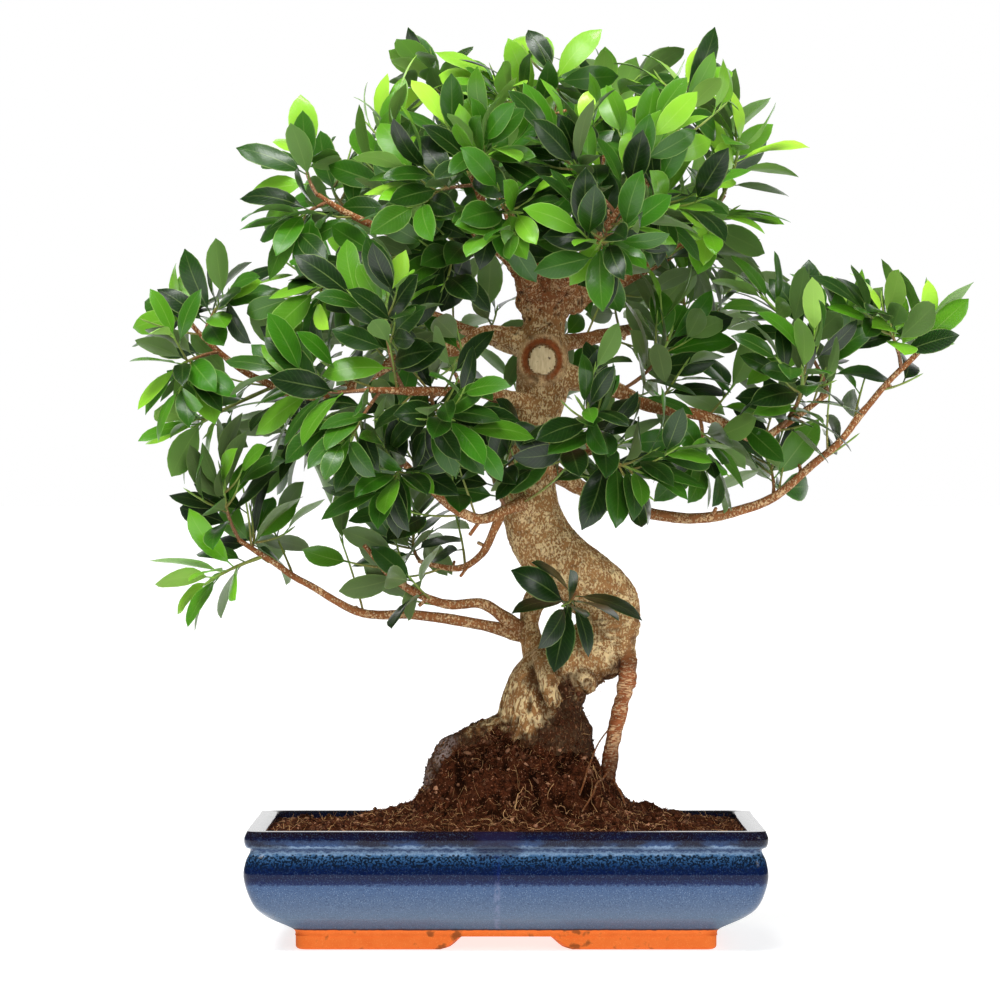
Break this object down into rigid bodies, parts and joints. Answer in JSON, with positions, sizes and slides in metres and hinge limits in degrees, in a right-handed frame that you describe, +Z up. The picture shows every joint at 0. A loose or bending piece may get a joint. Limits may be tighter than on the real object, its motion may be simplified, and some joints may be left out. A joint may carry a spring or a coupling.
{
  "type": "chinese banyan bonsai",
  "caption": "Potted banyan bonsai tree with an S-curved trunk, an aerial root and leafy sprays, in a low rectangular glazed pot on feet.",
  "frame": {"origin": "middle of the bottom of the bounding box, on the surface that the pot's feet stand on", "axes": "+Z up, the front of the bonsai towards -Y, +X to the right as the picture shows it"},
  "size_m": [0.767, 0.495, 0.8344],
  "materials": {
    "glaze": "gloss",
    "screen": "matte",
    "soil": "matte",
    "bark": "matte",
    "leaf": "gloss",
    "young_leaf": "satin"
  },
  "bodies": {
    "root": {"pot": "glaze", "drain_screen_left": "screen", "drain_screen_right": "screen", "soil": "soil", "trunk_and_limbs": "bark", "spray_00": "leaf", "spray_01": "leaf", "spray_02": "leaf", "spray_03": "leaf", "spray_04": "leaf", "spray_05": "leaf", "spray_06": "leaf", "spray_07": "young_leaf", "spray_08": "young_leaf", "spray_09": "leaf", "spray_10": "leaf", "spray_11": "young_leaf", "spray_12": "leaf", "spray_13": "young_leaf", "spray_14": "leaf", "spray_15": "leaf", "spray_16": "leaf", "spray_17": "leaf", "spray_18": "leaf", "spray_19": "leaf", "spray_20": "leaf", "spray_21": "leaf", "spray_22": "leaf", "spray_23": "leaf", "spray_24": "leaf", "spray_25": "leaf", "spray_26": "leaf", "spray_27": "leaf", "spray_28": "young_leaf", "spray_29": "leaf", "spray_30": "leaf", "spray_31": "leaf", "spray_32": "leaf", "spray_33": "leaf", "spray_34": "leaf", "spray_35": "leaf", "spray_36": "young_leaf", "spray_37": "leaf", "spray_38": "leaf", "spray_39": "leaf", "spray_40": "leaf", "spray_41": "leaf", "spray_42": "leaf", "spray_43": "leaf", "spray_44": "young_leaf", "spray_45": "leaf", "spray_46": "leaf", "spray_47": "leaf", "spray_48": "leaf", "spray_49": "leaf", "spray_50": "leaf", "spray_51": "leaf", "spray_52": "leaf", "spray_53": "leaf"}
  },
  "joints": []
}
